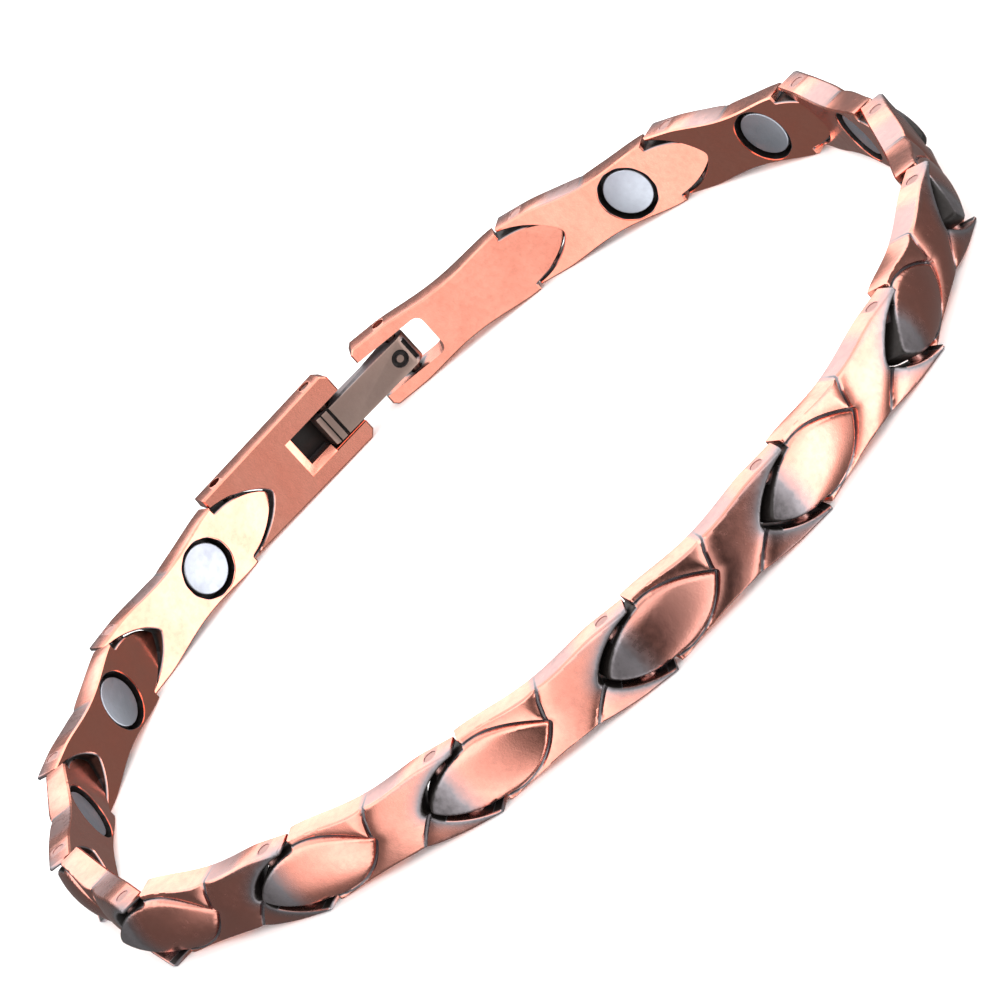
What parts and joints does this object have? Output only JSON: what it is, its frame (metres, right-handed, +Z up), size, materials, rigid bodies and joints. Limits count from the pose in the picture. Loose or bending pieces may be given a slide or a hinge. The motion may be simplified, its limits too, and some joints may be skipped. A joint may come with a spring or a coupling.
{
  "type": "bracelet",
  "caption": "Copper link bracelet with round magnets inside and a lever clasp, fastened and lying on its edge",
  "frame": {"origin": "centre of the box's underside, on the surface that the lower edge rests on", "axes": "+Z up, across the band's width; +X along the loop's longer diameter; the clasp is on the +Y side"},
  "size_m": [0.0666, 0.0611, 0.0054],
  "materials": {
    "copper": "cast copper, polished on the raised pattern and dark in the grooves",
    "lever": "dull brown copper",
    "pin": "dark copper",
    "magnet": "satin nickel"
  },
  "bodies": {
    "band": {"link_1": "copper", "link_2": "copper", "link_3": "copper", "link_4": "copper", "link_5": "copper", "link_6": "copper", "link_7": "copper", "link_8": "copper", "link_9": "copper", "link_10": "copper", "link_11": "copper", "link_12": "copper", "link_13": "copper", "link_14": "copper", "magnet_1": "magnet", "magnet_2": "magnet", "magnet_3": "magnet", "magnet_4": "magnet", "magnet_5": "magnet", "magnet_6": "magnet", "magnet_7": "magnet", "magnet_8": "magnet", "magnet_9": "magnet", "magnet_10": "magnet", "magnet_11": "magnet", "magnet_12": "magnet", "magnet_13": "magnet", "magnet_14": "magnet", "hinge_pin_1": "pin", "hinge_pin_2": "pin", "hinge_pin_3": "pin", "hinge_pin_4": "pin", "hinge_pin_5": "pin", "hinge_pin_6": "pin", "hinge_pin_7": "pin", "hinge_pin_8": "pin", "hinge_pin_9": "pin", "hinge_pin_10": "pin", "hinge_pin_11": "pin", "hinge_pin_12": "pin", "hinge_pin_13": "pin", "hinge_pin_14": "pin", "hinge_pin_15": "pin", "clasp_end_left": "copper", "clasp_end_right": "copper", "clasp_hinge_pin": "pin", "clasp_catch_pin": "pin"},
    "clasp_lever": {"clasp_lever": "lever"}
  },
  "joints": [
    {"name": "clasp_lever_hinge", "type": "hinge", "parent": "band", "child": "clasp_lever", "pos_m": [0.00234, 0.02913, 0.0024], "axis": [0, 0, 1], "range_deg": [0, 80]}
  ]
}
